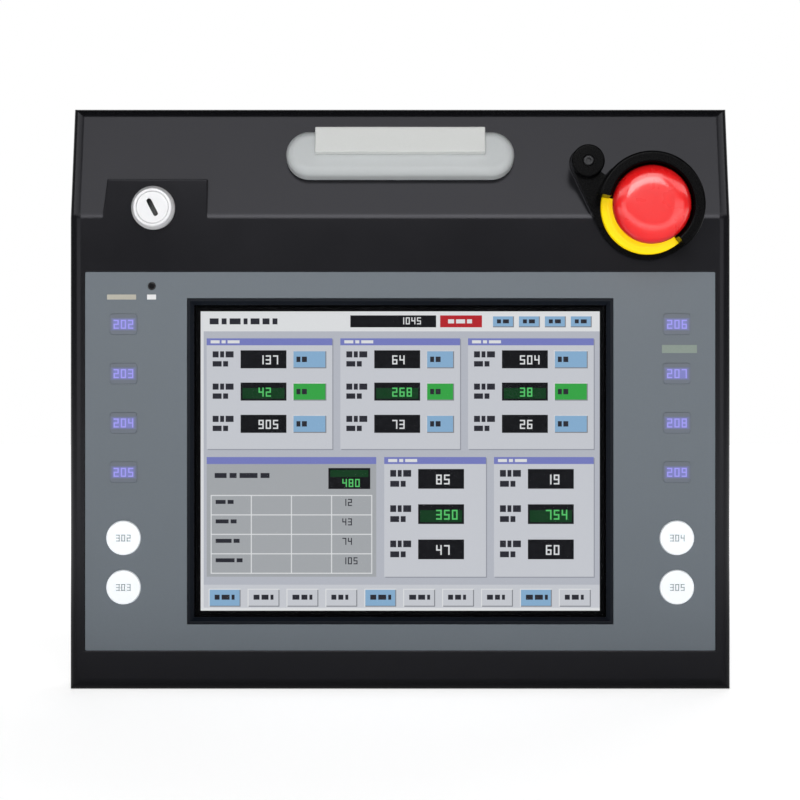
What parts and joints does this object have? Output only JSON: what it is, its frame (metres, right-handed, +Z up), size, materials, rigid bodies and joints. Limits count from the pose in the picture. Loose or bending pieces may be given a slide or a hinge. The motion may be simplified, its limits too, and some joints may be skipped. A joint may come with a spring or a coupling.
{
  "type": "handheld operator panel",
  "caption": "Handheld machine operator panel: sloped head with guarded stop button and key switch, touch display with side keys, rear grips with enabling switches.",
  "frame": {"origin": "on the flat base of the front shell, midway across its width and midway through its depth", "axes": "+Z up, the display faces -Y, +X to the right of a person looking at the display"},
  "size_m": [0.349, 0.0987, 0.3085],
  "materials": {
    "shell_black": "fine grained black moulding",
    "cover_black": "fine grained black moulding",
    "overlay_grey": "satin grey film",
    "bezel_black": "satin black",
    "screen_glass": "clear touch glass",
    "display_lit": "lit display",
    "tray_metal": "plain light moulding",
    "steel": "zinc plated",
    "board_green": "solder resist",
    "boss_grey": "light grey moulding",
    "guard_black": "satin black",
    "stop_red": "gloss red",
    "stop_yellow": "satin yellow",
    "inner_black": "plain black",
    "lock_chrome": "polished",
    "rubber_black": "matt",
    "key_grey": "satin cap with a lit legend",
    "key_white": "lit white cap",
    "lens_dark": "dark lens",
    "brass": "plain",
    "gland_black": "polyamide",
    "terminal_green": "plain"
  },
  "bodies": {
    "panel": {"front_shell": "shell_black", "rear_cover": "cover_black", "back_box": "cover_black", "shell_seal": "rubber_black", "cover_screws": "steel", "box_screws": "steel", "panel_overlay": "overlay_grey", "screen_bezel": "bezel_black", "touch_glass": "screen_glass", "display_cell": "display_lit", "display_tray": "tray_metal", "carrier_plate": "steel", "carrier_screws": "steel", "board_standoffs": "brass", "main_board": "board_green", "wire_terminal": "terminal_green", "key_board_left": "board_green", "key_board_right": "board_green", "key_board_screws_left": "steel", "key_board_screws_right": "steel", "status_lens": "lens_dark", "head_boss": "boss_grey", "blank_plate": "boss_grey", "stop_guard": "guard_black", "guard_screw": "steel", "stop_collar": "stop_yellow", "stop_barrel": "inner_black", "stop_nut": "inner_black", "stop_contacts": "inner_black", "lock_barrel": "lock_chrome", "lock_nut": "steel", "lock_contacts": "inner_black", "enable_switch_left": "inner_black", "enable_switch_right": "inner_black", "gland_body": "gland_black", "gland_seal": "rubber_black", "gland_cap": "gland_black", "gland_locknut": "gland_black", "bracket_inserts": "brass", "rubber_feet": "rubber_black"},
    "stop_stem": {"stop_stem": "inner_black"},
    "stop_head": {"stop_head": "stop_red"},
    "lock_rotor": {"lock_rotor": "lock_chrome"},
    "enable_boot_left": {"enable_boot_left": "rubber_black"},
    "enable_boot_right": {"enable_boot_right": "rubber_black"},
    "function_key_1": {"function_key_1": "key_grey"},
    "function_key_2": {"function_key_2": "key_grey"},
    "function_key_3": {"function_key_3": "key_grey"},
    "function_key_4": {"function_key_4": "key_grey"},
    "function_key_5": {"function_key_5": "key_grey"},
    "function_key_6": {"function_key_6": "key_grey"},
    "function_key_7": {"function_key_7": "key_grey"},
    "function_key_8": {"function_key_8": "key_grey"},
    "round_key_1": {"round_key_1": "key_white"},
    "round_key_2": {"round_key_2": "key_white"},
    "round_key_3": {"round_key_3": "key_white"},
    "round_key_4": {"round_key_4": "key_white"}
  },
  "joints": [
    {"name": "function_key_1_press", "type": "slide", "parent": "panel", "child": "function_key_1", "axis": [0, 1, 0], "range_m": [0, 0.0008], "stiffness_N_per_m": 400},
    {"name": "function_key_2_press", "type": "slide", "parent": "panel", "child": "function_key_2", "axis": [0, 1, 0], "range_m": [0, 0.0008], "stiffness_N_per_m": 400},
    {"name": "function_key_3_press", "type": "slide", "parent": "panel", "child": "function_key_3", "axis": [0, 1, 0], "range_m": [0, 0.0008], "stiffness_N_per_m": 400},
    {"name": "function_key_4_press", "type": "slide", "parent": "panel", "child": "function_key_4", "axis": [0, 1, 0], "range_m": [0, 0.0008], "stiffness_N_per_m": 400},
    {"name": "function_key_5_press", "type": "slide", "parent": "panel", "child": "function_key_5", "axis": [0, 1, 0], "range_m": [0, 0.0008], "stiffness_N_per_m": 400},
    {"name": "function_key_6_press", "type": "slide", "parent": "panel", "child": "function_key_6", "axis": [0, 1, 0], "range_m": [0, 0.0008], "stiffness_N_per_m": 400},
    {"name": "function_key_7_press", "type": "slide", "parent": "panel", "child": "function_key_7", "axis": [0, 1, 0], "range_m": [0, 0.0008], "stiffness_N_per_m": 400},
    {"name": "function_key_8_press", "type": "slide", "parent": "panel", "child": "function_key_8", "axis": [0, 1, 0], "range_m": [0, 0.0008], "stiffness_N_per_m": 400},
    {"name": "round_key_1_press", "type": "slide", "parent": "panel", "child": "round_key_1", "axis": [0, 1, 0], "range_m": [0, 0.0015], "stiffness_N_per_m": 400},
    {"name": "round_key_2_press", "type": "slide", "parent": "panel", "child": "round_key_2", "axis": [0, 1, 0], "range_m": [0, 0.0015], "stiffness_N_per_m": 400},
    {"name": "round_key_3_press", "type": "slide", "parent": "panel", "child": "round_key_3", "axis": [0, 1, 0], "range_m": [0, 0.0015], "stiffness_N_per_m": 400},
    {"name": "round_key_4_press", "type": "slide", "parent": "panel", "child": "round_key_4", "axis": [0, 1, 0], "range_m": [0, 0.0015], "stiffness_N_per_m": 400},
    {"name": "stop_press", "type": "slide", "parent": "panel", "child": "stop_stem", "axis": [0, 1, 0], "range_m": [0, 0.005], "stiffness_N_per_m": 1500},
    {"name": "stop_twist", "type": "hinge", "parent": "stop_stem", "child": "stop_head", "pos_m": [0.13, -0.0315, 0.254], "axis": [0, 1, 0], "range_deg": [0, 45], "stiffness_Nm_per_rad": 0.08},
    {"name": "key_turn", "type": "hinge", "parent": "panel", "child": "lock_rotor", "pos_m": [-0.13, -0.015, 0.254], "axis": [0, 1, 0], "range_deg": [0, 90]},
    {"name": "enable_left_press", "type": "slide", "parent": "panel", "child": "enable_boot_left", "axis": [0, -1, 0], "range_m": [0, 0.004], "stiffness_N_per_m": 900},
    {"name": "enable_right_press", "type": "slide", "parent": "panel", "child": "enable_boot_right", "axis": [0, -1, 0], "range_m": [0, 0.004], "stiffness_N_per_m": 900}
  ]
}
